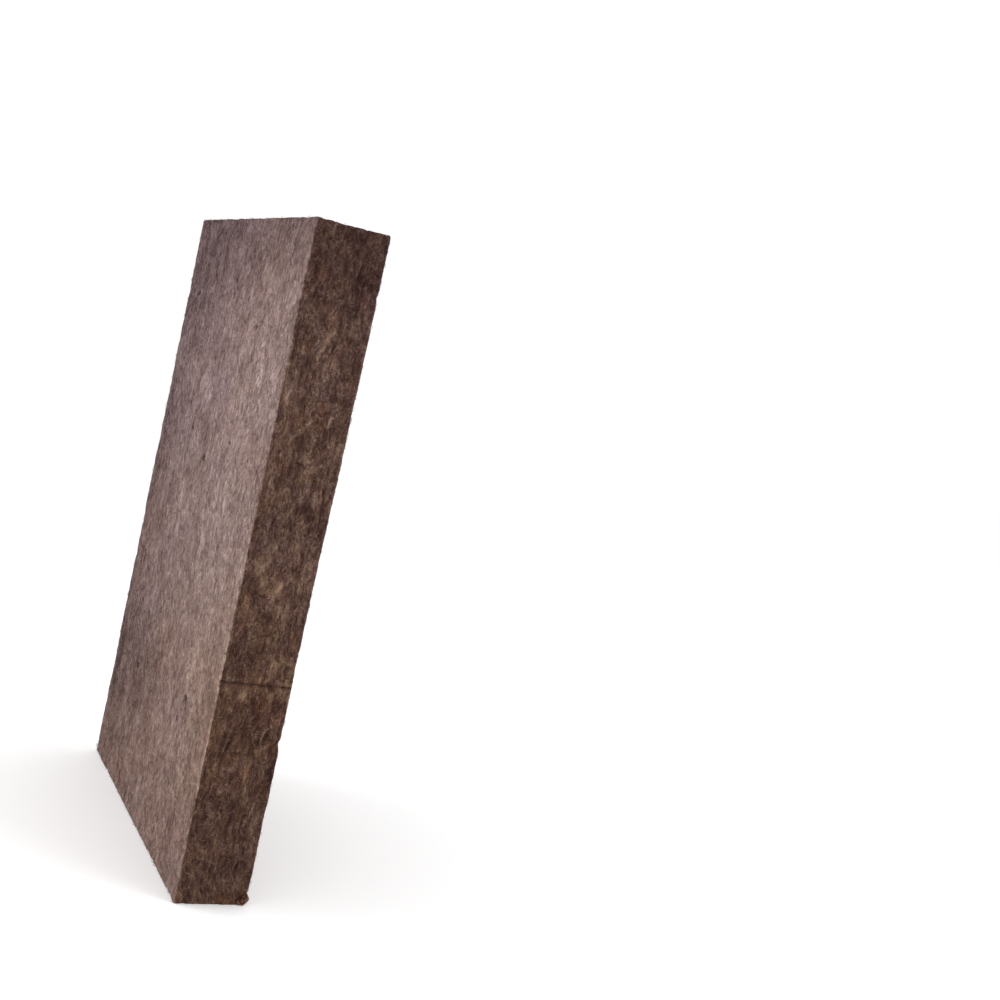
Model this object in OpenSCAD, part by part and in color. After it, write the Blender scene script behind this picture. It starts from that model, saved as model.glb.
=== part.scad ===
// Slab of bonded floral wool, standing on its end.
// The slab is a stack of thin webs of mineral fibre, laid one on another through the thickness
// and pressed between two denser felted skins. It is one bonded pack and nothing on it moves.
// X is the slab's width, Y runs through the webs with the front skin at -Y, Z is its length.
// The origin is the centre of the underside.

/* [Slab] */
// Length of the slab, from the end that it stands on to the other end
slab_length = 690; // [680:10:900]
// Width of the two felted faces
slab_width = 460; // [400:10:600]
// Thickness through the stack of webs
slab_thickness = 75; // [70:1:110]

/* [Webs] */
// Thickness of each felted skin
skin_thickness = 4; // [4:0.5:6]
// How far a seam between two webs waves to each side of its middle
crimp_height = 1.4; // [0.4:0.1:1.6]
// Length of one long wave of a seam
crimp_length = 118; // [90:1:200]
// Distance between the corners of a seam's outline
seam_step = 10; // [5:5:15]

/* [Starter cut] */
// Height of the starter cut above the underside, as a share of the slab's length
cut_share = 0.3333; // [0.3:0.0001:0.45]
// Width of the starter cut
cut_width = 1.2; // [0.6:0.1:2]
// Depth of the starter cut into the narrow side
cut_depth = 10; // [4:1:25]

/* [Torn corner] */
// Width of the rolled tuft across the thickness
tuft_width = 10; // [6:1:14]
// Height of the rolled tuft
tuft_height = 14; // [8:1:24]
// Depth of the rolled tuft into the slab's width
tuft_depth = 24; // [10:1:40]

/* [Lifted flake] */
// Radius of the curled flake on the narrow side
flake_radius = 9; // [6:0.5:12]
// Thickness of the flake
flake_thickness = 1.2; // [0.8:0.1:2]
// Depth of the hollow that it lifted out of
flake_depth = 2.5; // [1.5:0.1:4]

/* [Shot] */
// Radius of a bead of shot, the unspun glass in mineral wool
shot_radius = 1.1; // [0.6:0.1:1.4]
// Radius of the small pit that a bead sits in
pit_radius = 2.4; // [1.8:0.1:4]
// Depth of the pit
pit_depth = 1.2; // [0.6:0.1:1.4]

/* [Hidden] */

lap_count = 10;
layer_count = lap_count + 2;
lap_pitch = (slab_thickness - 2 * skin_thickness) / lap_count;
half_thickness = slab_thickness / 2;
half_width = slab_width / 2;
cut_height = slab_length * cut_share;
seam_corners = ceil(slab_length / seam_step);
clearance = 1;
smooth = 48;
fine = 32;

// Shares of a seam's crimp that its long and its short waves have, and how many short waves
// fit in a long one
long_share = 0.7;
short_share = 0.3;
short_waves = 3;
// Degrees by which each seam's waves lag behind those of the seam before it
long_lag = 31;
short_lag = 77;
// Crimp that each web away from the outer faces adds, until the crimp is whole
crimp_gain = 0.45;

// Radius of the torn roll, which is cut off flat where it meets the slab
roll_radius = 0.8 * tuft_width;

// Centre of the flake's hollow: across the thickness from the middle, and above the underside
flake_place = [22, 176];
// Directions, in degrees about the hollow's centre, between which the flake stands
flake_from = 70;
flake_to = 205;

// Beads of shot that show in the front skin: across from the middle, and above the underside
shot_places = [
    [0, 420], [125, 180], [-15, 620], [-75, 445], [-175, 600],
    [-105, 150], [35, 655], [100, 575], [90, 450]
];

front_colour = [0.51, 0.42, 0.40];
back_colour = [0.47, 0.39, 0.36];
flake_colour = [0.42, 0.34, 0.30];
torn_colour = [0.36, 0.22, 0.15];
shot_colour = [0.12, 0.10, 0.10];
// Neighbouring laps differ a little, so that their edges can be told apart
lap_colours = [[0.33, 0.25, 0.21], [0.35, 0.265, 0.22], [0.37, 0.28, 0.23]];

// Share of the crimp that seam i has: none on the outer faces, less beside the skins
function crimp_share(i) = min(1, crimp_gain * min(i, layer_count - i));

// Place across the thickness of the middle of seam i, where seam 0 is the front face
function seam_middle(i) =
    i == 0 ? -half_thickness
    : i == layer_count ? half_thickness
    : -half_thickness + skin_thickness + lap_pitch * (i - 1);

// Angle through its waves, in degrees, of a seam at height z
function wave_angle(z) = 360 * z / crimp_length;

// Place across the thickness of seam i at height z
function seam(i, z) =
    seam_middle(i) + crimp_height * crimp_share(i)
    * (long_share * sin(wave_angle(z) + long_lag * i)
       + short_share * sin(short_waves * wave_angle(z) + short_lag * i));

// Height of corner n of a seam, with the last corner on the top end
function corner_height(n) = min(n * seam_step, slab_length);

// Point at a distance from the hollow's centre, in a direction in degrees
function spoke(distance, direction) = distance * [cos(direction), sin(direction)];

// Everything that is cut out of the stack: starter cut, torn corner and the flake's hollow
module cuts() {
    translate([half_width - cut_depth, -slab_thickness, cut_height - cut_width / 2])
        cube([cut_depth + clearance, 2 * slab_thickness, cut_width]);
    translate([half_width - tuft_depth, half_thickness - tuft_width, -clearance])
        cube([tuft_depth + clearance, tuft_width + clearance, tuft_height + clearance]);
    translate([half_width - flake_depth, flake_place[0], flake_place[1]])
        rotate([0, 90, 0])
            cylinder(r = flake_radius, h = flake_depth + clearance, $fn = smooth);
}

// One web, from seam i to the next, over the whole face of the slab
module web(i) {
    near = [for (n = [0 : seam_corners]) [seam(i, corner_height(n)), corner_height(n)]];
    far = [for (n = [seam_corners : -1 : 0]) [seam(i + 1, corner_height(n)), corner_height(n)]];
    difference() {
        rotate([90, 0, 90])
            linear_extrude(height = slab_width, center = true)
                polygon(concat(near, far));
        cuts();
    }
}

// All the beads, each half sunk in the floor of its pit
module beads() {
    for (place = shot_places)
        translate([place[0], -half_thickness + pit_depth, place[1]])
            sphere(r = shot_radius, $fn = fine);
}

module front_skin() {
    color(front_colour)
        difference() {
            web(0);
            for (place = shot_places)
                translate([place[0], -half_thickness - clearance, place[1]])
                    rotate([-90, 0, 0])
                        cylinder(r = pit_radius, h = pit_depth + clearance, $fn = fine);
            beads();
        }
}

module lap(i) {
    color(lap_colours[i % len(lap_colours)])
        web(i);
}

module back_skin() {
    color(back_colour)
        web(layer_count - 1);
}

// Roll of torn wool that fills the lower rear corner of the narrow side
module torn_corner_tuft() {
    color(torn_colour)
        intersection() {
            translate([half_width - tuft_depth, half_thickness - tuft_width, 0])
                cube([tuft_depth, tuft_width, tuft_height]);
            translate([half_width - tuft_depth, half_thickness - roll_radius, tuft_height - roll_radius])
                rotate([0, 90, 0])
                    cylinder(r = roll_radius, h = tuft_depth, $fn = smooth);
        }
}

// Curl of web that stands along the upper rim of its hollow
module lifted_flake() {
    reach = 2 * flake_radius;
    color(flake_colour)
        translate([half_width - flake_depth, flake_place[0], flake_place[1]])
            rotate([90, 0, 90])
                linear_extrude(height = flake_depth)
                    intersection() {
                        difference() {
                            circle(r = flake_radius, $fn = smooth);
                            circle(r = flake_radius - flake_thickness, $fn = smooth);
                        }
                        polygon([
                            [0, 0],
                            spoke(reach, flake_from),
                            spoke(reach, (flake_from + flake_to) / 2),
                            spoke(reach, flake_to)
                        ]);
                    }
}

module shot_grains() {
    color(shot_colour)
        beads();
}

front_skin();
lap(1);  // lap_01
lap(2);  // lap_02
lap(3);  // lap_03
lap(4);  // lap_04
lap(5);  // lap_05
lap(6);  // lap_06
lap(7);  // lap_07
lap(8);  // lap_08
lap(9);  // lap_09
lap(10);  // lap_10
back_skin();
torn_corner_tuft();
lifted_flake();
shot_grains();
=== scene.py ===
"""An upright slab of bonded floral wool: two felted skins, ten wavy webs of mineral fibre between
them, loose fibres all over, a starter cut across one narrow side, and the slab's torn places.

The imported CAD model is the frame. Shapes are worked out in millimetres in its axes and become
metres when a mesh is made: X across the slab, Y through the webs from the front skin, Z up."""

import itertools
import math

import bmesh
import bpy
import numpy as np
from mathutils import Euler, Matrix, Vector


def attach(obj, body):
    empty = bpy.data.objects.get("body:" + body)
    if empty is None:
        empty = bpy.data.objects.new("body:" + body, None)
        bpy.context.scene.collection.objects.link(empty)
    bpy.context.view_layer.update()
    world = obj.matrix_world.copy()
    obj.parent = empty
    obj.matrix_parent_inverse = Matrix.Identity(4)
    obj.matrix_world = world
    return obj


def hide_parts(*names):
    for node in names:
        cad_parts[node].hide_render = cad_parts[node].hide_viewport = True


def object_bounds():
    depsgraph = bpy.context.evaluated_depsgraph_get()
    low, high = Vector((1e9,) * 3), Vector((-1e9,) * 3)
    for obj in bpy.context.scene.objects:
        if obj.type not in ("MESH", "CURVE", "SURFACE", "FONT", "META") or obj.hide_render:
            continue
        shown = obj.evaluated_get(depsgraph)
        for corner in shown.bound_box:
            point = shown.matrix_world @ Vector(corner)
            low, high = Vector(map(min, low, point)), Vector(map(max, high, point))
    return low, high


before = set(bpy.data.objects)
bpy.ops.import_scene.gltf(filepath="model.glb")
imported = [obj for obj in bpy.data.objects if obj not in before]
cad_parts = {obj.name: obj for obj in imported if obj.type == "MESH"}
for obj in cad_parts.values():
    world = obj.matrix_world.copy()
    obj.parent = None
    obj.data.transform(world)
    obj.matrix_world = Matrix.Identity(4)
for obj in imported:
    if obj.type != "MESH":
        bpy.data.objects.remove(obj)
cad_low, cad_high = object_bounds()

# ---------------------------------------------------------------- sizes, in millimetres
MM = 0.001
HALF_WIDTH = cad_high.x / MM
HALF_THICKNESS = cad_high.y / MM
LENGTH = cad_high.z / MM

SKIN = 4.0  # thickness of a felted skin
LAPS = 10  # webs between the skins
LAYERS = LAPS + 2
PITCH = 2 * (HALF_THICKNESS - SKIN) / LAPS  # thickness of one web
CRIMP = 1.4  # how far a seam waves to each side
CRIMP_LENGTH = 118.0  # length of a seam's long wave
LONG_SHARE, SHORT_SHARE = 0.7, 0.3  # shares of the crimp that the long and short waves have
SHORT_WAVES = 3  # short waves in a long one
LONG_LAG, SHORT_LAG = math.radians(31), math.radians(77)  # by which waves lag the seam before
CRIMP_GAIN = 0.45  # crimp added by each web from the faces inwards
SEAM_WANDER = 1.1  # how far a seam strays from its wave

CUT_HEIGHT = LENGTH / 3  # the starter cut
CUT_WIDTH = 1.2
CUT_DEPTH = 10.0

GRID = 2.0  # spacing of the corners on the felted faces
WALL_STEP = 1.1  # spacing of the corners through the thickness
ON_SIDE = 0.001  # how near a flat side a corner has to be, to lie on it

BUNDLE = (14, 4.5, 14)  # size of a bundle of fibres, which is thin through the webs
LOCK = (7, 2.6, 7)  # size of a smaller lock of fibres
CORNER_INSET = 0.29  # how far a round edge draws in at its corner, as a share of its radius
CHIP_DEPTH = 2.2  # depth of the chips along the edges
PIT_DEPTH = 2.4
HOLLOW_DEPTH = 1.4  # depth of the hollow beside the flake
TORN_ACROSS, TORN_THROUGH = 4.0, 3.4  # how far the torn corner is sunk from the two sides

# Pits in the front skin that hold a bead of shot: across, up, radius
PITS = [
    (0, 420, 2.9), (125, 180, 3.0), (-15, 620, 2.1), (-75, 445, 2.1), (-175, 600, 2.4),
    (-105, 150, 3.2), (35, 655, 2.0), (100, 575, 2.2), (90, 450, 2.2),
]
SHOT_RADIUS = 1.1
SHOT_DEPTH = 1.2

# Slits where the webs have opened on the narrow side: through, up, half length, lean, depth
SLITS = [
    (19, 41, 3.5, 0.2, 5), (-15.5, 166, 13, 0.28, 1.3), (-8, 96, 5, -0.25, 1.5), (9, 300, 8, 0.15, 1.5),
    (-18, 392, 7, 0.2, 1.5), (26, 430, 8, -0.2, 1.6), (4, 566, 7, 0.25, 1.5),
    (-24, 620, 6, 0.1, 1.4),
]

# Bites out of the rear and front arris of the narrow side: which arris, up, half length, depth
BITES = [
    (1, 171, 4, 2.4), (1, 628, 4, 1), (1, 262, 7, 0.6), (1, 95, 8, 0.6),
    (-1, 330, 8, 0.7), (-1, 560, 6, 0.6), (-1, 120, 7, 0.7), (-1, 30, 7, 1),
]

# Clumps on the narrow side, which stand out where they are lighter and sink where they are darker, their
# tone partly the fibres' own colour and partly painted light and shade: through, up, half width, half
# height, lean, lighter or darker, redder
CLUMPS = [
    (0.5, 327, 4.5, 10, 0.3, 3.6, -0.1), (-11, 217, 4, 6, 0, 2.4, -0.3), (-11, 231, 2.6, 3, 0, 1.6, 0),
    (8.5, 131, 2.4, 12, -0.3, 2, 0), (16.5, 501, 1.8, 7, 0.1, 2.2, -0.4), (2, 236, 5, 9, 0.5, 0.9, 0.3),
    (-30, 514, 4, 13, 0, 2.5, 0), (-2, 497, 2.6, 9, 0.6, 2.2, 0), (-22, 450, 8, 12, 0.2, 0.3, 0.6),
    (5, 516, 4, 5, -0.2, 1.1, 0.6), (5, 452, 4, 9, -0.2, 1, 0.5), (14, 472, 5, 13, 0.1, -1.6, -0.2),
    (-26, 307, 2.5, 5, 0, 1.3, 0.2), (15, 246, 5, 12, 0.3, 1.6, 0.2), (-27, 288, 3, 5, 0.1, 0.6, 0.5),
    (29, 405, 3, 20, 0, -1.3, -0.3), (22, 640, 12, 22, 0, -0.6, -0.2), (10, 300, 4, 12, -0.5, 1, 0),
    (-5, 185, 14, 22, 0, -0.6, 0), (-20, 640, 8, 10, 0, 0.4, 0.3), (-16, 350, 3, 7, 0.4, 1.8, 0.2),
    (13, 365, 3, 10, -0.2, 0.8, 0), (-3, 576, 4, 14, 0.3, 2.2, 0), (8, 395, 2, 10, 0.5, 1, 0.1),
    (28, 522, 5, 15, 0, -1.3, 0), (-28, 374, 5, 18, 0, -1.3, 0), (-29, 266, 4, 14, 0, -1.4, 0),
    (0, 209, 5, 9, 0, -1.2, -0.2), (-20, 241, 9, 9, 0.2, -1.4, 0), (-14, 420, 5, 10, 0.3, 0.7, 0.1),
    (28, 76, 5, 18, 0, 1, 0.1), (28, 355, 4, 22, 0, 0.8, 0.1), (-6, 140, 14, 25, 0, 0.4, 0),
    (4, 78, 4, 10, 0, -1.3, 0), (14, 521, 5, 8, 0, -1.1, 0), (-14, 70, 5, 14, 0, -0.6, 0),
    (-7, 667, 4, 6, 0.3, 1, 0.2), (9, 350, 4, 16, 0.4, 0.9, 0), (-14, 205, 5, 6, 0, -1, 0),
    (14, 420, 5, 14, 0, -0.9, 0), (-27, 572, 5, 12, 0, -0.8, 0), (14, 672, 5, 8, 0, 0.8, 0),
    (-28, 168, 5, 13, 0, 0.9, 0), (28, 268, 4, 12, 0, 0.9, 0), (-28, 330, 4, 9, 0, -0.9, 0),
]

# Lighter and darker patches on the front skin: across, up, half width, half height, lighter or darker
PATCHES = [
    (-64, 368, 10, 17, 3.4), (-50, 325, 8, 16, 1.2), (78, 388, 8, 26, 1.3), (-32, 480, 9, 14, 0.9),
    (10, 505, 18, 20, 0.9), (90, 640, 14, 10, 1.4), (152, 545, 20, 30, 0.9), (-25, 221, 7, 9, 1.9),
    (130, 215, 9, 10, 1.2), (55, 95, 40, 40, 0.7), (215, 300, 16, 60, 1), (-212, 360, 14, 50, -1.2),
    (-95, 282, 16, 16, -1.2), (-125, 200, 28, 28, 0.5), (50, 225, 10, 22, -0.9), (208, 425, 12, 18, -0.8),
    (-208, 450, 18, 50, -2), (-208, 120, 16, 34, -2.8), (-150, 240, 20, 24, -1.1), (208, 22, 14, 12, -1.1),
    (135, 240, 34, 20, 1.1), (-90, 660, 18, 16, -0.7), (122, 300, 14, 10, -0.5), (-45, 25, 40, 12, -0.7),
]

FLAKE_PLACE = (22.0, 176.0)  # through, up
FLAKE_RADIUS = 9.0


# ---------------------------------------------------------------- noise
def hashed(cells, seed):
    """A repeatable number from 0 to 1 for each row of whole numbers, from large odd multipliers."""
    cells = cells.astype(np.uint64)
    mixed = cells[:, 0] * np.uint64(73856093) ^ cells[:, 1] * np.uint64(19349663)
    mixed ^= cells[:, 2] * np.uint64(83492791) ^ np.uint64(seed * 2654435761 + 97)
    for _ in range(2):
        mixed = (mixed ^ (mixed >> np.uint64(15))) * np.uint64(2246822519)
        mixed &= np.uint64(0xFFFFFFFF)
    mixed ^= mixed >> np.uint64(13)
    return mixed.astype(float) / 0xFFFFFFFF


# Turns the cells of the noise, so that none of its bumps line up with the slab's edges
TURN = np.array(Euler((0.7, 0.5, 1.1)).to_matrix())


def noise(points, size, seed):
    """Smooth noise from -1 to 1, with bumps about size across, which may differ along each axis.
    Each seed has a pattern of its own, so a seed used twice gives the same bumps twice."""
    place = (points / np.asarray(size, float)) @ TURN
    cell = np.floor(place).astype(np.int64)
    part = place - cell
    ease = part * part * (3 - 2 * part)
    total = np.zeros(len(points))
    for corner in itertools.product((0, 1), repeat=3):
        share = np.prod(np.where(corner, ease, 1 - ease), axis=1)
        total += share * hashed(cell + np.array(corner), seed)
    return 2 * total - 1


def fractal(points, size, seed, octaves=3):
    """Noise with finer noise added, each octave half the size and half the height."""
    total = np.zeros(len(points))
    for octave in range(octaves):
        total += noise(points, np.asarray(size, float) / 2**octave, seed + octave) / 2**octave
    return total


# ---------------------------------------------------------------- the stack of webs
def seam(index, x, z):
    """Place through the thickness of seam number index: the CAD model's wave, and some straying."""
    if index == 0 or index == LAYERS:
        return np.full(len(x), -HALF_THICKNESS if index == 0 else HALF_THICKNESS)
    middle = -HALF_THICKNESS + SKIN + PITCH * (index - 1)
    share = min(1, CRIMP_GAIN * min(index, LAYERS - index))
    turn = 2 * math.pi * z / CRIMP_LENGTH
    wave = LONG_SHARE * np.sin(turn + LONG_LAG * index)
    wave += SHORT_SHARE * np.sin(SHORT_WAVES * turn + SHORT_LAG * index)
    strays = noise(np.stack([x, np.full(len(x), 14.0 * index), z], 1), (55, 30, 38), 5)
    return middle + share * (CRIMP * wave + SEAM_WANDER * strays)


def web_number(points):
    """How many seams lie in front of each point, with the share of the way to the next one."""
    x, y, z = points.T
    place = np.zeros(len(points))
    lower = seam(0, x, z)
    for index in range(LAYERS):
        upper = seam(index + 1, x, z)
        inside = (y >= lower) & (y <= upper)
        place = np.where(inside, index + (y - lower) / (upper - lower), place)
        lower = upper
    return place


def halved(values):
    """The values, with the middle of each gap between them put in."""
    return np.insert(values, np.arange(1, len(values)), (values[1:] + values[:-1]) / 2)


def spaced(start, end):
    """Corners about a GRID apart from start to end."""
    return np.linspace(start, end, max(2, round((end - start) / GRID) + 1))


cut_floor = HALF_WIDTH - CUT_DEPTH
cut_low = CUT_HEIGHT - CUT_WIDTH / 2
cut_high = CUT_HEIGHT + CUT_WIDTH / 2
left_columns = spaced(-HALF_WIDTH, cut_floor)
lower_rows = spaced(0, cut_low)
columns = halved(np.concatenate([left_columns, spaced(cut_floor, HALF_WIDTH)[1:]]))
rows = halved(np.concatenate([lower_rows, spaced(cut_high, LENGTH)]))
CUT_I, CUT_J = 2 * (len(left_columns) - 1), 2 * (len(lower_rows) - 1)
LAST_I, LAST_J = len(columns) - 1, len(rows) - 1


def outline():
    """Steps (column, row) round the slab as seen from the front, into the starter cut and out again."""
    walk = [(i, 0) for i in range(LAST_I)]
    walk += [(LAST_I, j) for j in range(CUT_J)]
    walk += [(i, CUT_J) for i in range(LAST_I, CUT_I, -1)]
    walk += [(CUT_I, CUT_J), (CUT_I, CUT_J + 1)]
    walk += [(i, CUT_J + 2) for i in range(CUT_I, LAST_I)]
    walk += [(LAST_I, j) for j in range(CUT_J + 2, LAST_J)]
    walk += [(i, LAST_J) for i in range(LAST_I, 0, -1)]
    walk += [(0, j) for j in range(LAST_J, 0, -1)]
    return np.array(walk)


ring = outline()


def fine_cap(ring_ids, first_id):
    """Faces of a felted face on the whole grid, and the steps of the corners that it adds."""
    ids = np.full((len(columns), len(rows)), -1)
    ids[ring[:, 0], ring[:, 1]] = ring_ids
    inner = [(i, j) for i in range(0, LAST_I + 1, 2) for j in range(0, LAST_J + 1, 2) if ids[i, j] < 0]
    inner = np.array(inner)
    ids[inner[:, 0], inner[:, 1]] = first_id + np.arange(len(inner))
    faces = []
    for i in range(0, LAST_I, 2):
        for j in range(0, LAST_J, 2):
            if j == CUT_J and i >= CUT_I:
                continue
            around = [
                ids[i, j], ids[i + 1, j], ids[i + 2, j], ids[i + 2, j + 1],
                ids[i + 2, j + 2], ids[i + 1, j + 2], ids[i, j + 2], ids[i, j + 1],
            ]
            faces.append([corner for corner in around if corner >= 0])
    return faces, inner


def plain_cap(ring_ids):
    """Faces of a hidden seam: one band for each row of the grid, from side to side."""
    ids = {(i, j): corner for (i, j), corner in zip(map(tuple, ring), ring_ids)}
    everything = list(range(LAST_I + 1))
    past_cut = [0] + list(range(CUT_I, LAST_I + 1))
    lower = {0: everything, CUT_J: [0, CUT_I], CUT_J + 2: past_cut}
    upper = {LAST_J: everything, CUT_J: past_cut, CUT_J + 2: [0, CUT_I]}
    faces = []
    for j in range(0, LAST_J, 2):
        right = CUT_I if j == CUT_J else LAST_I
        steps = [(i, j) for i in lower.get(j, [0, LAST_I])] + [(right, j + 1)]
        steps += [(i, j + 2) for i in reversed(upper.get(j + 2, [0, LAST_I]))] + [(0, j + 1)]
        faces.append([ids[step] for step in steps])
    return faces


def web_shape(index):
    """Corners, seam places and faces of one web before it is roughened."""
    x, z = columns[ring[:, 0]], rows[ring[:, 1]]
    near, far = seam(index, x, z), seam(index + 1, x, z)
    levels = round(np.mean(far - near) / WALL_STEP)
    points, places = [], []
    for level in range(levels + 1):
        share = level / levels
        points.append(np.stack([x, near + share * (far - near), z], 1))
        places.append(np.full(len(x), index + share))
    count = len(ring)
    faces = []
    for level in range(levels):
        low = level * count + np.arange(count)
        following = level * count + (np.arange(count) + 1) % count
        faces += np.stack([low, low + count, following + count, following], 1).tolist()
    front_ids, back_ids = np.arange(count), levels * count + np.arange(count)
    for ids, outer, backwards in ((front_ids, index == 0, False), (back_ids, index == LAYERS - 1, True)):
        if outer:
            cap, inner = fine_cap(ids, (levels + 1) * count)
            inner_x, inner_z = columns[inner[:, 0]], rows[inner[:, 1]]
            side = HALF_THICKNESS if backwards else -HALF_THICKNESS
            points.append(np.stack([inner_x, np.full(len(inner), side), inner_z], 1))
            places.append(np.full(len(inner), float(LAYERS if backwards else 0)))
        else:
            cap = plain_cap(ids)
        faces += [face[::-1] for face in cap] if backwards else cap
    return np.concatenate(points), np.concatenate(places), faces


# ---------------------------------------------------------------- how the surface is roughened
def swirled(points):
    """Places moved about, so that noise stretched along the webs swirls as laid fibre does."""
    moved = points.copy()
    moved[:, 1] += 11 * noise(points, (38, 24, 38), 21) + 4 * noise(points, (15, 11, 15), 22)
    moved[:, 0] += 4 * noise(points, (20, 14, 20), 23)
    moved[:, 2] += 4 * noise(points, (20, 14, 20), 24)
    return moved


def bump_at(distance, reach):
    """1 at distance 0, falling smoothly to almost 0 at twice the reach."""
    return np.exp(-((distance / reach) ** 2))


def on_sides(points):
    """For each outer side of the slab: its axis, its direction, and which points lie on it."""
    x, y, z = points.T
    sides = [
        (0, 1, x - HALF_WIDTH), (0, -1, x + HALF_WIDTH), (1, 1, y - HALF_THICKNESS),
        (1, -1, y + HALF_THICKNESS), (2, 1, z - LENGTH), (2, -1, z),
    ]
    return [(axis, way, np.abs(gap) < ON_SIDE) for axis, way, gap in sides]


def rounding(points, axis):
    """How far an outer side across the axis draws in towards its own edges."""
    x, y, z = points.T
    reach = 2.8 + 1.2 * noise(points, 24, 31)
    gaps = {0: [HALF_WIDTH - np.abs(x)], 1: [HALF_THICKNESS - np.abs(y)], 2: [LENGTH - z, z]}
    inset = np.zeros(len(points))
    for other, distances in gaps.items():
        if other != axis:
            for distance in distances:
                inset += CORNER_INSET * reach * np.clip(1 - distance / reach, 0, 1) ** 2
    return inset


def edge_distance(points):
    """Distance of a point on the outside from the slab's nearest edge."""
    x, y, z = points.T
    gaps = np.stack([HALF_WIDTH - np.abs(x), HALF_THICKNESS - np.abs(y), np.minimum(z, LENGTH - z)])
    return np.sort(gaps, 0)[1]


def web_relief(points, places):
    """Height of the cut edges of the webs: bundles along the webs, and creases at their seams."""
    x, _, z = points.T
    moved = swirled(points)
    height = 0.7 * fractal(moved, BUNDLE, 41) + 0.25 * noise(points, (60, 30, 60), 45)
    height += 0.3 * noise(moved, LOCK, 46) + 0.12 * noise(points, 2.3, 47)
    open_share = np.clip(0.2 + 1.4 * noise(points, (46, 9, 46), 48), 0, 1)
    seam_gap = np.abs(places - np.round(places)) * PITCH
    inner = (places > 0.5) & (places < LAYERS - 0.5)
    height -= np.where(inner, 0.7 * open_share * bump_at(seam_gap, 0.9), 0)
    lips = np.clip(1 - np.abs(z - CUT_HEIGHT) / 2.6, 0, 1) ** 2
    return height - np.where(x > HALF_WIDTH - 1, 0.8 * lips, 0)


def flake_hollow(y, z):
    """How deep each point lies in the hollow beside the flake, from 0 to 1."""
    return bump_at(y - FLAKE_PLACE[0] + 0.5, 4.0) * bump_at(z - FLAKE_PLACE[1], 7.5)


def narrow_side_relief(points):
    """Slits, clumps and the flake's hollow on the narrow side with the starter cut."""
    _, y, z = points.T
    height = np.zeros(len(points))
    for through, up, half, lean, depth in SLITS:
        across = y - through - lean * (z - up)
        height -= depth * bump_at(across, 0.9) * bump_at(z - up, half)
    for through, up, wide, tall, lean, tone, _ in CLUMPS:
        across = y - through - lean * (z - up)
        height += 0.35 * tone * bump_at(across, wide) * bump_at(z - up, tall)
    return height - HOLLOW_DEPTH * flake_hollow(y, z)


def felt_relief(points):
    """Height of a felted face, which is flatter than the cut edges."""
    height = 0.5 * noise(points, (85, 50, 85), 51) + 0.35 * fractal(points, (18, 12, 22), 52)
    return height + 0.14 * fractal(points, (5, 5, 6), 55, 2)


def pit_shape(points):
    """How deep each point of the front face lies in a pit, from 0 to 1."""
    x, _, z = points.T
    depth = np.zeros(len(points))
    for across, up, radius in PITS:
        depth = np.maximum(depth, bump_at(np.hypot((x - across) / 1.4, (z - up) * 1.2), radius))
    return depth


def torn_corner(points):
    """How much each point belongs to the torn lower rear corner of the narrow side, from 0 to 1."""
    x, y, z = points.T
    return bump_at(HALF_WIDTH - x, 20) * bump_at(HALF_THICKNESS - y, 8) * bump_at(z, 10)


def ragged(points):
    """How far the slab's left and lower arrises are frayed back from their own sides."""
    x, _, z = points.T
    frayed = np.clip(fractal(points, (9, 7, 9), 63, 2) - 0.1, 0, 1)
    low = 2.6 * frayed * bump_at(z, 4) * np.clip((HALF_WIDTH - x) / 30, 0.1, 1)
    left = 2.2 * frayed * bump_at(x + HALF_WIDTH, 4)
    return left, low


def pinched(points):
    """How far the starter cut's two lips close in: most at the front skin, and towards the rear."""
    x, y, z = points.T
    in_cut = (x > cut_floor - ON_SIDE) & (np.abs(z - CUT_HEIGHT) < CUT_WIDTH / 2 + ON_SIDE)
    along = (y + HALF_THICKNESS) / (2 * HALF_THICKNESS)
    share = 0.9 * bump_at(along, 0.03) + 0.2 * np.clip(2.0 * along - 0.9, 0, 1)
    share += 0.66 + 0.4 * fractal(points, (30, 7, 30), 66, 2)
    return np.where(in_cut, np.clip(share, 0, 0.9) * (CUT_HEIGHT - z), 0)


def swollen(points):
    """How far the back springs out near its upper corner beside the cut side."""
    x, y, z = points.T
    through = np.clip((y + HALF_THICKNESS) / (2 * HALF_THICKNESS), 0, 1)
    up = np.clip((z - 330) / 260, 0, 1)
    side = np.clip((x - 60) / 170, 0, 1)
    swell = 0.4 + 2.1 * up * up * (3 - 2 * up)
    return swell * through**2 * side * side * (3 - 2 * side)


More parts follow.
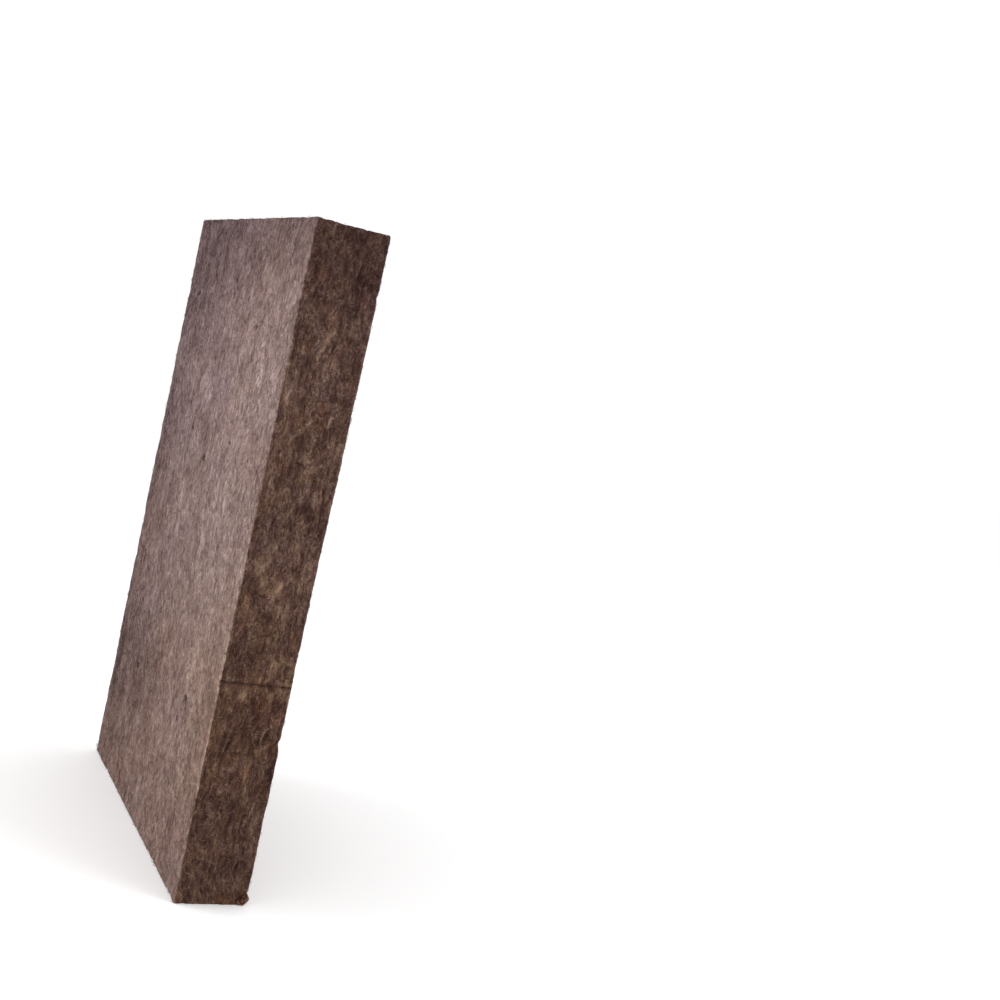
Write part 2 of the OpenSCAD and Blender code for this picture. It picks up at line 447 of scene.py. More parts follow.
def roughened(points, places):
    """The outside of the slab, moved from flat faces to felt, webs, worn edges and torn places."""
    x, y, z = points.T
    move = np.zeros_like(points)
    chips = np.clip(noise(points, (9, 7, 9), 61) - 0.45, 0, 1) * bump_at(edge_distance(points), 3)
    webs, felt = web_relief(points, places), felt_relief(points)
    narrow, pits = narrow_side_relief(points), pit_shape(points)
    for axis, way, here in on_sides(points):
        height = felt if axis == 1 else webs
        height = height - rounding(points, axis) - CHIP_DEPTH * chips
        if axis == 0 and way == 1:
            height = height + narrow
        if axis == 1 and way == -1:
            height = height - PIT_DEPTH * pits
        if axis == 2:
            height = 0.6 * height if way == 1 else 0.3 * height - 0.1
        move[:, axis] += np.where(here, way * height, 0)
    outside = np.any([here for _, _, here in on_sides(points)], axis=0)
    for way, up, half, depth in BITES:
        arris = np.hypot(HALF_WIDTH - x, HALF_THICKNESS - way * y)
        share = np.where(outside, bump_at(arris, 5) * bump_at(z - up, half), 0)
        move[:, 1] -= way * depth * share
        move[:, 0] -= 0.5 * depth * share
    torn = np.where(outside, torn_corner(points), 0)
    move[:, 1] -= TORN_THROUGH * torn
    move[:, 0] -= TORN_ACROSS * torn
    left, low = ragged(points)
    move[:, 0] += np.where(outside, left, 0)
    move[:, 2] += np.where(outside, low, 0)
    move[:, 2] += pinched(points)
    move[:, 1] += swollen(points)
    moved = points + move
    moved[:, 2] = np.maximum(moved[:, 2], 0.0)
    return moved


# ---------------------------------------------------------------- meshes
def make_piece(name, points, faces, attributes, material, node=None, smooth=True):
    """A mesh object from points in millimetres, riding on the slab's one body."""
    mesh = bpy.data.meshes.new(name)
    mesh.from_pydata((np.asarray(points) * MM).tolist(), [], faces)
    mesh.validate()
    for key, values in attributes.items():
        attribute = mesh.attributes.new(key, "FLOAT", "POINT")
        attribute.data.foreach_set("value", np.asarray(values, np.float32))
    mesh.polygons.foreach_set("use_smooth", [smooth] * len(mesh.polygons))
    mesh.materials.append(material)
    piece = bpy.data.objects.new(name, mesh)
    bpy.context.scene.collection.objects.link(piece)
    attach(piece, "root")
    if node:
        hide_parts(node)
    return piece


def refined(points, places, faces):
    """The front skin with smaller faces round its pits."""
    mesh = bpy.data.meshes.new("refining")
    mesh.from_pydata(points.tolist(), [], faces)
    shape = bmesh.new()
    shape.from_mesh(mesh)
    layer = shape.verts.layers.float.new("place")
    for corner, place in zip(shape.verts, places):
        corner[layer] = place
    near_pit = []
    for face in shape.faces:
        middle = face.calc_center_median()
        if middle.y < -HALF_THICKNESS + 0.01:
            if any(math.hypot(middle.x - a, middle.z - b) < 2.4 * r for a, b, r in PITS):
                near_pit.append(face)
    edges = list(dict.fromkeys(edge for face in near_pit for edge in face.edges))
    bmesh.ops.subdivide_edges(shape, edges=edges, cuts=2, use_grid_fill=True)
    new_points = np.array([corner.co for corner in shape.verts])
    new_places = np.array([corner[layer] for corner in shape.verts])
    new_faces = [[corner.index for corner in face.verts] for face in shape.faces]
    shape.free()
    bpy.data.meshes.remove(mesh)
    return new_points, new_places, new_faces


def front_shade(points):
    """Broad shading of the front skin: darkest along its left, then along its top."""
    x, _, z = points.T
    strayed = x + 30 * noise(points, (90, 90, 140), 85)
    left = np.clip((-60 - 50 * bump_at(z - 380, 150) - strayed) / 80, 0, 1)
    top = np.clip((z - 580 - 0.25 * strayed) / 60, 0, 1)
    low = bump_at(z - 160, 65) * np.clip((40 - strayed) / 60, 0, 1)
    middle = bump_at(strayed - 150, 130) * bump_at(z - 430, 260)
    shade = 1.4 * middle - 1.1 * left - 1.8 * top - 1.4 * low + 0.1
    for across, up, wide, tall, tone in PATCHES:
        shade += tone * bump_at(x - across, wide) * bump_at(z - up, tall)
    return shade


def tones(points):
    """How light and how red the wool looks at each corner, each from about -1 to 1: its own colour, with
    painted light and shade laid into the lightness.
    """
    x, y, z = points.T
    moved = swirled(points)
    # On the cut edges the lightness follows the same bundles and locks as their relief, so it is partly
    # the fibres' own tone and partly painted shade in the hollows
    light = 0.42 * fractal(moved, BUNDLE, 41) + 0.35 * noise(moved, LOCK, 46)
    light += 0.25 * noise(points, (45, 20, 45), 71)
    red = 0.7 * fractal(moved, (22, 6, 22), 74, 2) + 0.2 * noise(points, (50, 25, 50), 77)
    # The narrow side's clumps, lighter and darker partly in their own colour and partly as painted light
    # and shade;
    # painted shade in its slits with a painted highlight beside each, and in the flake's hollow; and its
    # foot, redder in colour and lightened as painted light from the floor
    on_narrow = x > HALF_WIDTH - 2
    for through, up, wide, tall, lean, tone, warm in CLUMPS:
        across = y - through - lean * (z - up)
        share = np.where(on_narrow, bump_at(across, wide) * bump_at(z - up, tall), 0)
        light += tone * share
        red += warm * share
    for through, up, half, lean, _ in SLITS:
        across = y - through - lean * (z - up)
        light -= np.where(on_narrow, 1.8 * bump_at(across, 1.1) * bump_at(z - up, half), 0)
        light += np.where(on_narrow, 0.9 * bump_at(across + 2.4, 1.1) * bump_at(z - up, half), 0)
    light -= np.where(on_narrow, 0.9 * flake_hollow(y, z), 0)
    foot = np.where(on_narrow, bump_at(z, 7), 0)
    light += 0.7 * foot
    red += 0.9 * foot
    # The front skin's painted highlight along its arris, its broad painted light and shade, and painted
    # shade in its pits
    on_front = y < -HALF_THICKNESS + 1
    arris = bump_at(HALF_WIDTH - x, 4.6) * (0.15 + 0.42 * bump_at(z - 130, 80))
    arris *= 0.8 + 0.5 * noise(points, (30, 30, 40), 83)
    light += np.where(on_front, 8 * arris + front_shade(points) - 12 * pit_shape(points), 0)
    # The narrow side: painted shade towards its top and bottom ends with painted light in the middle, the
    # torn corner darker and redder in its own colour, and painted shade along the starter cut
    ends = 0.8 * np.clip((z - 600) / 60, 0, 1) + 0.35 * np.clip((220 - z) / 160, 0, 1)
    light += np.where(on_narrow, 0.35 * bump_at(z - 440, 160) - ends, 0)
    torn = torn_corner(points)
    light -= 0.7 * torn
    red += 1.3 * torn
    light -= np.where(on_narrow, 1.5 * bump_at(z - CUT_HEIGHT, 1.9), 0)
    return light, red


def feltedness(points):
    """1 on the two felted faces, and falling to 0 a little way round their edges."""
    depth = HALF_THICKNESS - np.abs(points[:, 1])
    reach = 1.1 + 0.9 * fractal(points, (9, 9, 9), 81, 2)
    return np.where(depth < ON_SIDE, 1, np.clip(1.2 - depth / np.maximum(reach, 0.2), 0, 1))


# ---------------------------------------------------------------- materials
class Tree:
    """A material's node tree, with a short way to add a node and link its inputs."""

    def __init__(self, name):
        self.material = bpy.data.materials.new(name)
        self.material.use_nodes = True
        self.tree = self.material.node_tree
        self.tree.nodes.clear()

    def add(self, kind, inputs=None, output=0, **settings):
        """Adds a node, sets it, links or fills its inputs, and returns one of its outputs."""
        node = self.tree.nodes.new("ShaderNode" + kind)
        for key, value in settings.items():
            setattr(node, key, value)
        for key, value in (inputs or {}).items():
            if isinstance(value, bpy.types.NodeSocket):
                self.tree.links.new(value, node.inputs[key])
            else:
                node.inputs[key].default_value = value
        return node.outputs[output]

    def maths(self, operation, a, b=0.0, c=0.0):
        return self.add("Math", {0: a, 1: b, 2: c}, operation=operation)

    def fit(self, value, low, high, to_low=0.0, to_high=1.0):
        """The value with low to high stretched over to_low to to_high, and held there."""
        return self.add("MapRange", {0: value, 1: low, 2: high, 3: to_low, 4: to_high})

    def mix(self, share, a, b, blend="MIX"):
        return self.add("Mix", {0: share, 6: a, 7: b}, 2, data_type="RGBA", blend_type=blend)

    def noise(self, vector, scale, detail=3.0, roughness=0.55, distortion=0.0, output=0):
        inputs = {"Vector": vector, "Scale": scale, "Detail": detail}
        inputs.update({"Roughness": roughness, "Distortion": distortion})
        return self.add("TexNoise", inputs, output)

    def attribute(self, name):
        return self.add("Attribute", output=2, attribute_name=name)

    def finish(self, colour, height, bump):
        """Wool's shader: rough, with a little sheen and fibre-sized bumps."""
        normal = self.add("Bump", {"Strength": bump, "Distance": 0.0008, "Height": height})
        inputs = {"Base Color": colour, "Roughness": 0.95, "Normal": normal}
        inputs.update({"Specular IOR Level": 0.06, "Sheen Weight": 0.03, "Sheen Roughness": 0.5})
        shader = self.add("BsdfPrincipled", inputs)
        output = self.tree.nodes.new("ShaderNodeOutputMaterial")
        self.tree.links.new(shader, output.inputs["Surface"])
        return self.material


def wandering(tree, reach):
    """Object coordinates pushed about by up to reach metres, so that fibres curve."""
    here = tree.add("TexCoord", output=3)
    push = tree.noise(here, 30.0, 2.0, output=1)
    centred = tree.add("VectorMath", {0: push, 1: (0.5, 0.5, 0.5)}, operation="SUBTRACT")
    scaled = tree.add("VectorMath", {0: centred, 3: 2 * reach}, operation="SCALE")
    return here, tree.add("VectorMath", {0: here, 1: scaled}, operation="ADD")


def streaks(tree, place, lean, turn, wide, long):
    """Fibres at one angle: thin noise stretched along them, leant across the webs and turned in them."""
    angles = (math.radians(lean), math.radians(turn), 0)
    inputs = {"Vector": place, "Rotation": angles, "Scale": (wide, wide, long)}
    turned = tree.add("Mapping", inputs, vector_type="TEXTURE")
    return tree.fit(tree.noise(turned, 1.0, 2.0, 0.6), 0.5, 0.72)


# Ways that fibres lie: degrees leant across the webs, and degrees turned within them
WEB_WAYS = [(0, 12), (40, 0), (-35, 10), (75, 0), (5, 85)]
FELT_WAYS = [(0, 12), (0, 63), (0, 105), (0, 158)]
TORN_WAYS = [(0, 12), (40, 0), (75, 0), (5, 85)]


def fibre_mat(tree, place, wide, long, angles):
    """Light fibres laid at several angles, wide and long in metres, as a share from 0 to 1."""
    together = streaks(tree, place, *angles[0], wide, long)
    for lean, turn in angles[1:]:
        together = tree.maths("MAXIMUM", together, streaks(tree, place, lean, turn, wide, long))
    return together


def stretched(tree, place, scale):
    """The place with each axis scaled, for noise that is longer one way."""
    return tree.add("Mapping", {"Vector": place, "Scale": scale}, vector_type="POINT")


def coloured(tree, tone, ramp):
    colours = tree.add("ValToRGB", {0: tone})
    stops = colours.node.color_ramp
    while len(stops.elements) < len(ramp):
        stops.elements.new(0.5)
    for element, (place, colour) in zip(stops.elements, ramp):
        element.position = place
        element.color = (*colour, 1)
    return colours


def summed(tree, start, *layers):
    """The start with each layer added: a noise, and how far it lightens or darkens."""
    total = start
    for value, low, high, reach in layers:
        total = tree.maths("ADD", total, tree.fit(value, low, high, -reach, reach))
    return total


def web_look(tree, here, moved):
    """Cut edges of the webs: dark hollows, curled light fibres and redder patches."""
    mat = fibre_mat(tree, moved, 0.0009, 0.009, WEB_WAYS)
    blotch = tree.noise(moved, 60.0, 4.0, 0.6)
    curl = tree.noise(stretched(tree, moved, (0.7, 1.8, 0.6)), 140.0, 4.0, 0.6, 1.2)
    grain = tree.noise(here, 420.0, 3.0, 0.65, 1.2)
    tone = tree.maths("MULTIPLY_ADD", tree.attribute("tone"), 0.14, 0.47)
    tone = summed(tree, tone, (blotch, 0.3, 0.7, 0.13), (curl, 0.3, 0.7, 0.21), (grain, 0.3, 0.7, 0.17))
    tone = tree.maths("ADD", tone, tree.fit(mat, 0.0, 1.0, -0.05, 0.12))
    colours = coloured(tree, tone, WEB_RAMP)
    cloud = tree.maths("MULTIPLY_ADD", tone, 0.5, tree.noise(moved, 75.0, 3.0, 0.6))
    cast = tree.mix(tree.fit(cloud, 0.58, 0.92), VIOLET_CAST, OLIVE_CAST)
    colours = tree.mix(1.0, colours, cast, "MULTIPLY")
    redness = tree.fit(tree.attribute("red"), 0.3, 1.5, 0.0, 0.4)
    colour = tree.mix(redness, colours, OCHRE, "SOFT_LIGHT")
    height = tree.maths("ADD", tree.maths("MULTIPLY", mat, 0.6), tree.maths("ADD", grain, curl))
    return colour, height


def felt_look(tree, here, moved):
    """The pressed faces: a flatter mat, mottled, with a slight lengthwise grain and dark specks."""
    mat = fibre_mat(tree, moved, 0.0011, 0.012, FELT_WAYS)
    blotch = tree.noise(stretched(tree, moved, (1.1, 1.0, 0.9)), 30.0, 4.0, 0.6)
    band = tree.noise(stretched(tree, here, (1.0, 1.0, 0.25)), 80.0, 4.0, 0.6)
    mottle = tree.noise(stretched(tree, moved, (1.0, 1.0, 0.75)), 170.0, 4.0, 0.66, 0.5)
    grain = tree.noise(here, 460.0, 3.0, 0.7, 0.6)
    speck = tree.fit(tree.noise(here, 110.0, 2.0, 0.5), 0.69, 0.76, 0.0, -0.30)
    tone = tree.maths("MULTIPLY_ADD", tree.attribute("tone"), 0.09, 0.52)
    tone = summed(tree, tone, (blotch, 0.3, 0.7, 0.14), (band, 0.3, 0.7, 0.05))
    tone = summed(tree, tone, (mottle, 0.32, 0.68, 0.24), (grain, 0.3, 0.7, 0.18))
    tone = tree.maths("ADD", tone, tree.fit(mat, 0.0, 1.0, -0.08, 0.16))
    colours = coloured(tree, tree.maths("ADD", tone, speck), FELT_RAMP)
    cloud = tree.fit(tree.noise(stretched(tree, here, (1.0, 1.0, 0.6)), 90.0, 4.0, 0.7), 0.35, 0.65)
    colours = tree.mix(1.0, colours, tree.mix(cloud, ROSE_CAST, GREY_CAST), "MULTIPLY")
    height = tree.maths("ADD", tree.maths("MULTIPLY", mat, 0.6), tree.maths("ADD", grain, mottle))
    return colours, height


def casts_by_place(tree, here, colour):
    """A purple cast towards the top and the left, and a brown one towards the underside."""
    parts = tree.tree.nodes.new("ShaderNodeSeparateXYZ")
    tree.tree.links.new(here, parts.inputs[0])
    across = tree.fit(parts.outputs[0], -HALF_WIDTH * MM, HALF_WIDTH * MM, 0.45, -0.10)
    up = tree.fit(parts.outputs[2], 0.0, LENGTH * MM, -0.55, 0.45)
    patches = tree.fit(tree.noise(here, 7.0, 3.0), 0.3, 0.7, -0.35, 0.35)
    cool = tree.fit(tree.maths("ADD", tree.maths("ADD", across, up), patches), -0.8, 0.8)
    brown = tree.mix(1.0, colour, BROWN_CAST, "MULTIPLY")
    purple = tree.mix(1.0, colour, PURPLE_CAST, "MULTIPLY")
    return tree.mix(cool, brown, purple)


def web_material():
    tree = Tree("wool_web")
    here, moved = wandering(tree, 0.011)
    colour, height = web_look(tree, here, moved)
    return tree.finish(casts_by_place(tree, here, colour), height, 0.6)


def skin_material():
    """The skins: pressed felt on the outer faces, and the webs' look on their cut edges."""
    tree = Tree("skin_felt")
    here, moved = wandering(tree, 0.011)
    web_colour, web_height = web_look(tree, here, moved)
    felt_colour, felt_height = felt_look(tree, here, moved)
    felt = tree.attribute("felt")
    colour = tree.mix(felt, web_colour, felt_colour)
    height = tree.add("Mix", {0: felt, 2: web_height, 3: felt_height})
    return tree.finish(casts_by_place(tree, here, colour), height, 0.5)


def torn_material():
    """Torn wool: dark outside, reddish inside, with pale broken fibres on top."""
    tree = Tree("torn_wool")
    here, moved = wandering(tree, 0.003)
    mat = fibre_mat(tree, moved, 0.0008, 0.006, TORN_WAYS)
    grain = tree.noise(here, 600.0, 3.0, 0.65, 0.8)
    tone = tree.maths("MULTIPLY_ADD", tree.attribute("tone"), 0.3, 0.42)
    tone = summed(tree, tone, (grain, 0.3, 0.7, 0.2), (mat, 0.0, 1.0, 0.12))
    colours = coloured(tree, tone, WEB_RAMP)
    redness = tree.fit(tree.attribute("red"), 0.0, 1.0, 0.0, 0.6)
    colour = tree.mix(redness, colours, OCHRE, "SOFT_LIGHT")
    return tree.finish(colour, tree.maths("ADD", mat, grain), 0.8)


def shot_material():
    """Unspun glass: near black and glossy, with a browner cloud in it."""
    tree = Tree("glassy_shot")
    here = tree.add("TexCoord", output=3)
    cloud = tree.fit(tree.noise(here, 900.0, 3.0), 0.35, 0.65)
    colour = tree.mix(cloud, (0.006, 0.005, 0.005, 1), (0.030, 0.019, 0.014, 1))
    shader = tree.add("BsdfPrincipled", {"Base Color": colour, "Roughness": 0.18, "Coat Weight": 0.3})
    output = tree.tree.nodes.new("ShaderNodeOutputMaterial")
    tree.tree.links.new(shader, output.inputs["Surface"])
    return tree.material


FELT_RAMP = [
    (0.00, (0.022, 0.011, 0.010)), (0.30, (0.088, 0.051, 0.046)),
    (0.55, (0.160, 0.107, 0.098)), (0.85, (0.276, 0.202, 0.186)), (1.00, (0.400, 0.320, 0.300)),
]
WEB_RAMP = [
    (0.03, (0.012, 0.005, 0.0045)), (0.35, (0.048, 0.025, 0.019)),
    (0.60, (0.105, 0.064, 0.049)), (1.00, (0.290, 0.205, 0.165)),
]
OCHRE = (0.80, 0.42, 0.17, 1)
BROWN_CAST = (1.01, 0.94, 0.77, 1)
PURPLE_CAST = (0.98, 0.99, 1.08, 1)
VIOLET_CAST = (1.02, 0.94, 1.08, 1)
OLIVE_CAST = (1.01, 0.98, 0.92, 1)
ROSE_CAST = (1.03, 0.98, 1.00, 1)
GREY_CAST = (0.98, 1.01, 0.995, 1)

# ---------------------------------------------------------------- the webs
felt, web = skin_material(), web_material()

names = ["front_skin"] + [f"lap_{number:02d}" for number in range(1, LAPS + 1)] + ["back_skin"]
for index, node in enumerate(names):
    points, places, faces = web_shape(index)
    if index == 0:
        points, places, faces = refined(points, places, faces)
    light, red = tones(points)
    skin = node.endswith("skin")
    attributes = {"tone": light, "red": red}
    if skin:
        attributes["felt"] = feltedness(points)
    wool = make_piece(
        node + "_wool", roughened(points, places), faces, attributes,
        felt if skin else web, node,
    )

# ---------------------------------------------------------------- loose fibres on every side
STRAND_STEPS = 5  # stretches in one strand
STRAND_SIDES = 3
STRAND_LIFT = 0.10  # usual height of a strand's middle above the wool
STRAND_SINK = 0.26  # depth of a strand's ends in the wool
CUT_CLEAR = 1.6  # distance that strands keep from the starter cut
# Each layer of strands: name, the axis that its side lies across, which way it faces, strands, how
# widely they are turned and swirled from the slab's length or width, lengths, radius, how far they
# pass the side's edge, and how much lighter than the wool they are
SIDES = [
    ("front", 1, -1, 6000, 1.5, 0.5, (8, 26), 0.30, 1.2, 0.5),
    ("back", 1, 1, 5600, 1.5, 0.5, (8, 26), 0.30, 1.2, 0.5),
    ("cut_side", 0, 1, 4200, 0.8, 1.4, (5, 15), 0.26, 0.4, 0.2),
    ("plain_side", 0, -1, 4000, 0.8, 1.4, (5, 15), 0.26, 0.8, 0.2),
    ("top", 2, 1, 2600, 0.8, 1.4, (5, 15), 0.26, 0.3, 0.2),
    ("underside", 2, -1, 1000, 0.8, 1.0, (4, 12), 0.26, 1.0, 0.2),
    ("cut_side_locks", 0, 1, 260, 0.9, 1.8, (7, 16), 0.55, 0.0, 2.1),
    ("plain_side_locks", 0, -1, 260, 0.9, 1.8, (7, 16), 0.55, 0.0, 1.6),
    ("top_locks", 2, 1, 170, 0.9, 1.8, (7, 16), 0.55, 0.0, 1.6),
]
SPANS = [(-HALF_WIDTH, HALF_WIDTH), (-HALF_THICKNESS, HALF_THICKNESS), (0.0, LENGTH)]


def unit(axis):
    direction = np.zeros(3)
    direction[axis] = 1.0
    return direction


def strand_paths(random, axis, way, count, turned, swirl, lengths, overhang):
    """Curved paths on the flat side, as points by strand and step."""
    along, across = [(2, 1), (2, 0), (0, 1)][axis]
    start = np.zeros((count, 3))
    start[:, axis] = SPANS[axis][1] if way == 1 else SPANS[axis][0]
    for other in (along, across):
        low, high = SPANS[other]
        start[:, other] = random.uniform(low, high, count)
    flow = 1.2 * noise(start, (26, 14, 26), 91) + 0.7 * noise(start, (9, 6, 9), 92)
    angle = swirl * flow + turned * random.uniform(-1, 1, count) * random.uniform(0.2, 1, count)
    length = random.uniform(*lengths, count)
    shares = np.linspace(-0.5, 0.5, STRAND_STEPS + 1)
    bend = random.normal(0, 1.2 * swirl + 0.1, count)[:, None] * shares
    bend = bend + random.normal(0, 0.5 * swirl + 0.1, count)[:, None] * np.sin(2 * math.pi * shares)
    turn = angle[:, None] + bend
    step = (length / STRAND_STEPS)[:, None]
    paths = np.repeat(start[:, None, :], STRAND_STEPS + 1, axis=1)
    for other, part in ((along, np.cos(turn)), (across, np.sin(turn))):
        moved = np.cumsum(part * step, axis=1)
        low, high = SPANS[other]
        paths[:, :, other] += moved - moved.mean(axis=1, keepdims=True)
        paths[:, :, other] = np.clip(paths[:, :, other], low - overhang, high + overhang)
    return paths


def tubes(paths, normal, radii):
    """Closed tubes along the paths: corners, and faces."""
    ahead = np.gradient(paths, axis=1)
    ahead /= np.maximum(np.linalg.norm(ahead, axis=2, keepdims=True), 1e-6)
    aside = np.cross(ahead, normal)
    aside /= np.maximum(np.linalg.norm(aside, axis=2, keepdims=True), 1e-6)
    rings = []
    for side in range(STRAND_SIDES):
        angle = 2 * math.pi * side / STRAND_SIDES + math.pi / 2
        spoke = math.cos(angle) * aside + 0.8 * math.sin(angle) * normal
        rings.append(paths + radii[:, :, None] * spoke)
    corners = np.stack(rings, axis=2).reshape(-1, 3)
    count, steps = paths.shape[:2]
    first = (np.arange(count) * steps * STRAND_SIDES)[:, None]
    quads = []
    for step in range(steps - 1):
        for side in range(STRAND_SIDES):
            following = (side + 1) % STRAND_SIDES
            low, high = step * STRAND_SIDES, (step + 1) * STRAND_SIDES
            quads.append(first + np.array([low + side, low + following, high + following, high + side]))
    last = (steps - 1) * STRAND_SIDES
    caps = [first + np.array([2, 1, 0]), first + last + np.array([0, 1, 2])]
    return corners, np.concatenate(quads).tolist() + np.concatenate(caps).tolist()


def loose_fibres(random, name, axis, way, count, turned, swirl, lengths, thick, overhang, pale):
    """Strands laid over one side of the slab, which follow its bumps, with some standing clear."""
    paths = strand_paths(random, axis, way, count, turned, swirl, lengths, overhang)
    if axis == 0 and way == 1:
        clear = np.abs(paths[:, :, 2] - CUT_HEIGHT).min(axis=1) > CUT_CLEAR
        # A few strands towards the rear cross the cut
        bridges = paths[:, 0, 1] > random.uniform(20, 120, count)
        paths = paths[clear | bridges]
        count = len(paths)
    steps = STRAND_STEPS + 1
    flat = paths.reshape(-1, 3)
    surface = roughened(flat, web_number(flat)).reshape(count, steps, 3)
    arch = np.sin(math.pi * np.linspace(0, 1, steps))
    lift = random.exponential(STRAND_LIFT, count)[:, None] * arch - STRAND_SINK * (1 - arch)
    surface[:, :, axis] += way * lift
    radius = thick * random.uniform(0.35, 1.0, count)[:, None] * (0.35 + 0.65 * arch)
    surface[:, :, 2] = np.maximum(surface[:, :, 2], radius)
    corners, faces = tubes(surface, way * unit(axis), radius)
    light, red = tones(paths.mean(axis=1))
    light = 0.8 * light + random.normal(pale, 0.5, count)
    corners_each = steps * STRAND_SIDES
    attributes = {"tone": np.repeat(light, corners_each), "red": np.repeat(red, corners_each)}
    felted = axis == 1
    if felted:
        attributes["felt"] = np.ones(count * corners_each)
    make_piece(
        "loose_fibres_" + name, corners, faces, attributes,
        felt if felted else web, None, smooth=False,
    )


random = np.random.default_rng(11)
for side in SIDES:
    loose_fibres(random, *side)


# ---------------------------------------------------------------- torn tuft, flake and shot
def grid_faces(around, along, closed):
    """Quads of a grid of corners, along rows of around corners, which may close on themselves."""
    quads = []
    for row in range(along - 1):
        for place in range(around if closed else around - 1):
            following = (place + 1) % around
            low, high = row * around, (row + 1) * around
            quads.append([low + place, low + following, high + following, high + place])
    return quads


def torn_tuft():
    """A lumpy roll of torn wool in the corner, sunk along its upper front side, with a painted shadow
    there.
    """
    around, along = 52, 44
    turn = np.linspace(0, 2 * math.pi, around, endpoint=False)
    end_share = 0.24  # of the rows, those that make the rounded end
    middle_y, middle_z = HALF_THICKNESS - 4.6, 6.4
    radius_y, radius_z = 5.9, 6.4
    rows, coils = [], []
    for part in np.linspace(0, 1, along):
        past_end = max(0.0, part - end_share) / (1 - end_share)
        swell = min(1.0, 0.03 + part / end_share) * (1 - 0.35 * past_end**2)
        coil = np.sin(turn - 3.5 * math.pi * min(1.0, part / end_share))
        on_end = 1.0 if part < end_share else 0.0
        x = HALF_WIDTH + 1.2 - 22.5 * past_end - 1.8 * swell**3 + 0.6 * coil * swell * on_end
        y = middle_y + (radius_y + 0.7 * np.sin(2 * turn + 0.6)) * swell * np.cos(turn)
        z = middle_z + (radius_z + 0.6 * np.sin(3 * turn)) * swell * np.sin(turn)
        rows.append(np.stack([x + 0 * turn, y, z], 1))
        coils.append(coil * on_end + 0.3 * np.sin(3 * turn) * (1 - on_end))
    points, coil = np.concatenate(rows), np.concatenate(coils)
    outward = points - np.array([0, middle_y, middle_z])
    outward[:, 0] = 0
    outward /= np.maximum(np.linalg.norm(outward, axis=1, keepdims=True), 1e-6)
    shaded = np.clip((points[:, 2] - middle_z - points[:, 1] + middle_y) / 6 - 0.45, 0, 1)
    height = 0.8 * fractal(points, (6, 3.5, 3.5), 101) + 0.35 * noise(points, 1.3, 104)
    points = points + outward * height[:, None]
    points[:, 0] += np.where(points[:, 0] > HALF_WIDTH - 3, 0.7 * height - 2.2 * shaded, 0)
    points[:, 2] = np.maximum(points[:, 2], 0.05)
    faces = grid_faces(around, along, True)
    faces += [list(range(around))[::-1], [(along - 1) * around + place for place in range(around)]]
    rim = bump_at(points[:, 1] - HALF_THICKNESS - 0.6, 1.4)
    # Painted light and shade on the tuft: its raised coils and lumps lighter, a painted shadow along the
    # sunk upper front side, a painted highlight along its rear rim, and painted light from the floor along
    # its foot
    light = 0.6 * coil + 1.0 * height - 2.4 * shaded + 1.0 * rim + 0.6 * bump_at(points[:, 2], 3.5) + 0.1
    red = 0.5 + 0.4 * noise(points, 4, 106) + 0.2 * bump_at(points[:, 2], 4) - 0.4 * rim
    make_piece(
        "torn_corner_tuft_wool", points, faces, {"tone": light, "red": red},
        torn, "torn_corner_tuft",
    )


def curled_flake():
    """A thin curl of web, standing up and over from the upper left rim of its hollow."""
    along, up = 40, 9
    turns = np.radians(np.linspace(72, 218, along))
    shares = np.linspace(0, 1, up)
    outer, inner = [], []
    for turn in turns:
        part = (turn - turns[0]) / (turns[-1] - turns[0])
        size = math.sin(math.pi * min(max(part, 0.0), 1.0)) ** 0.4
        for share in shares:
            radius = FLAKE_RADIUS + 0.4 - 1.6 * size * share**1.5
            x = HALF_WIDTH - 2.0 + 4.8 * size * share
            y = FLAKE_PLACE[0] + 0.5 + 0.80 * radius * math.cos(turn)
            z = FLAKE_PLACE[1] + 1.30 * radius * math.sin(turn)
            thick = 0.25 + 0.35 * (1 - share)
            outer.append((x, y, z))
            inner.append((x - 0.3 * thick, y - thick * math.cos(turn), z - thick * math.sin(turn)))
    count = along * up
    points = np.array(outer + inner)
    ragged_edge = np.tile(shares, 2 * along) ** 2
    wobble = noise(points, 2.2, 111)[:, None] * np.array([0.7, 0.4, 0.4]) * (0.3 + ragged_edge)[:, None]
    points = points + wobble
    outside = grid_faces(up, along, False)
    faces = outside + [[corner + count for corner in face[::-1]] for face in outside]
    border = [(row * up, (row + 1) * up) for row in range(along - 1)]
    border += [((along - 1) * up + place, (along - 1) * up + place + 1) for place in range(up - 1)]
    border += [((row + 1) * up + up - 1, row * up + up - 1) for row in reversed(range(along - 1))]
    border += [(place + 1, place) for place in reversed(range(up - 1))]
    faces += [[b, a, a + count, b + count] for a, b in border]
    low_end = np.clip((FLAKE_PLACE[1] - points[:, 2]) / 8, 0, 1)
    # The flake's lighter free edge is a painted highlight
    light = 0.9 + 1.3 * ragged_edge + 1.2 * low_end + 0.8 * noise(points, 2.5, 112)
    red = 0.3 * noise(points, 5, 113)
    make_piece(
        "lifted_flake_wool", points, faces, {"tone": light, "red": red}, web, "lifted_flake",
    )


def shot_beads():
    """Small beads, each a little out of round, in the pits of the front skin."""
    shape = bmesh.new()
    for across, up, _ in PITS:
        place = Matrix.Translation((across, SHOT_DEPTH - HALF_THICKNESS, up))
        bmesh.ops.create_icosphere(shape, subdivisions=3, radius=SHOT_RADIUS, matrix=place)
    points = np.array([corner.co for corner in shape.verts])
    faces = [[corner.index for corner in face.verts] for face in shape.faces]
    shape.free()
    points = points + 0.12 * np.stack([noise(points, 1.1, seed) for seed in (121, 122, 123)], 1)
    make_piece("shot_grains_glass", points, faces, {}, shot_material(), "shot_grains")


torn = torn_material()
torn_tuft()
curled_flake()
shot_beads()

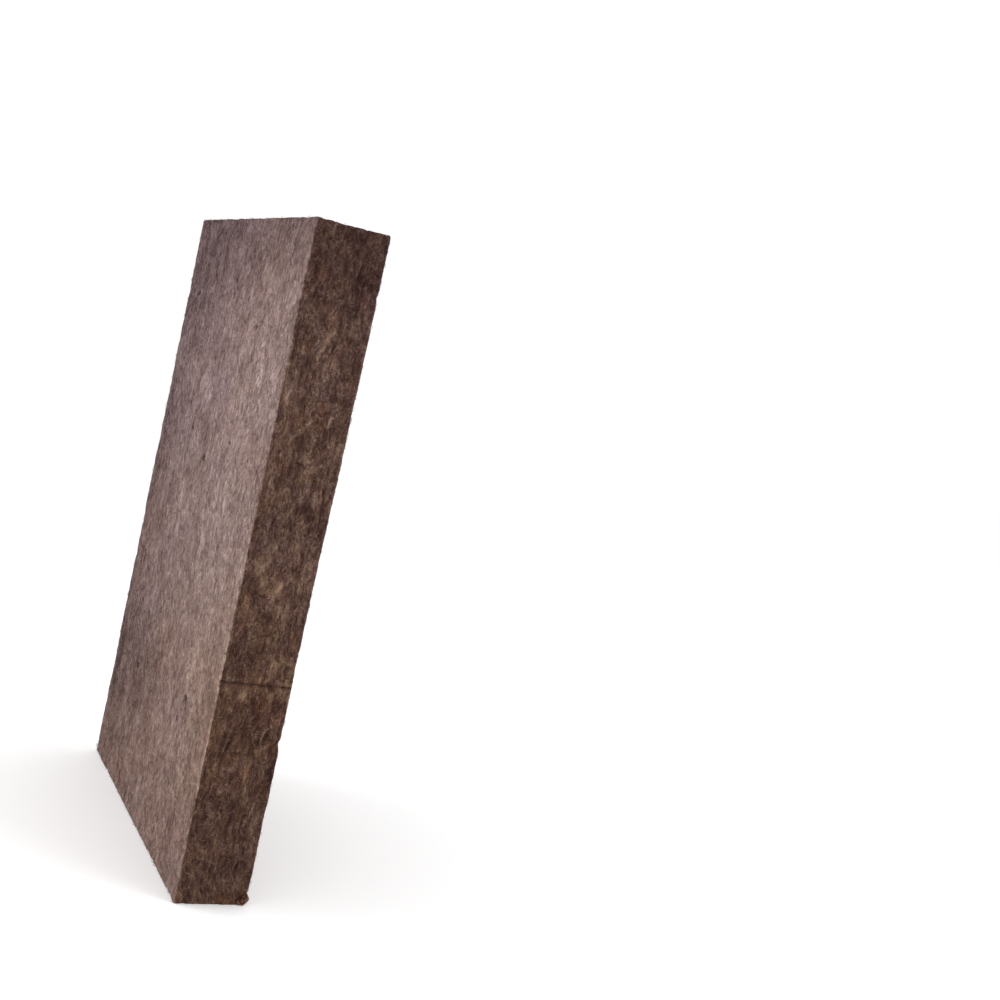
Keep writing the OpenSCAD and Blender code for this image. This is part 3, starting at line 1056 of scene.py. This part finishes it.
# ---------------------------------------------------------------- stage, light and camera
def stage_floor():
    """A white floor that runs out of sight."""
    mesh = bpy.data.meshes.new("floor")
    half = 60.0
    corners = [(-half, -half, 0), (half, -half, 0), (half, half, 0), (-half, half, 0)]
    mesh.from_pydata(corners, [], [(0, 1, 2, 3)])
    floor = bpy.data.objects.new("floor", mesh)
    bpy.context.scene.collection.objects.link(floor)
    material = bpy.data.materials.new("floor")
    material.use_nodes = True
    shader = material.node_tree.nodes["Principled BSDF"]
    shader.inputs["Base Color"].default_value = (0.97, 0.97, 0.97, 1)
    shader.inputs["Roughness"].default_value = 1.0
    shader.inputs["Specular IOR Level"].default_value = 0.0
    mesh.materials.append(material)


def add_area(name, place, aim, size, power):
    """A soft lamp at place that points at aim."""
    lamp = bpy.data.lights.new(name, "AREA")
    lamp.size = size
    lamp.energy = power
    holder = bpy.data.objects.new(name, lamp)
    holder.location = place
    holder.rotation_euler = (Vector(aim) - Vector(place)).to_track_quat("-Z", "Y").to_euler()
    bpy.context.scene.collection.objects.link(holder)


def set_camera():
    """The photograph's view: a 50 mm lens, a little above the middle, rolled as the slab leaned."""
    place = Vector((1.5248, -0.4373, 0.5768))
    azimuth, elevation, roll = math.radians(63.12), math.radians(4.82), math.radians(12.69)
    level_share = math.cos(elevation)
    back = Vector((
        math.sin(azimuth) * level_share, -math.cos(azimuth) * level_share, math.sin(elevation),
    ))
    level = (-back).cross(Vector((0, 0, 1))).normalized()
    upright = level.cross(-back)
    right = math.cos(roll) * level + math.sin(roll) * upright
    above = right.cross(-back)
    lens = bpy.data.cameras.new("camera")
    lens.lens, lens.sensor_width = 50, 36
    camera = bpy.data.objects.new("camera", lens)
    camera.matrix_world = Matrix.Translation(place) @ Matrix((right, above, back)).transposed().to_4x4()
    bpy.context.scene.collection.objects.link(camera)
    bpy.context.scene.camera = camera


def set_world():
    world = bpy.data.worlds.new("studio")
    world.use_nodes = True
    sky = world.node_tree.nodes["Background"]
    sky.inputs["Color"].default_value = (1, 1, 1, 1)
    sky.inputs["Strength"].default_value = 1.05
    bpy.context.scene.world = world


stage_floor()
set_world()
add_area("key", (-0.6, -2.4, 1.6), (0, 0, 0.35), 1.6, 30)
add_area("rim", (1.3, 1.1, 2.0), (0.2, 0, 0.35), 0.8, 10)
set_camera()
bpy.context.scene.view_settings.view_transform = "Standard"
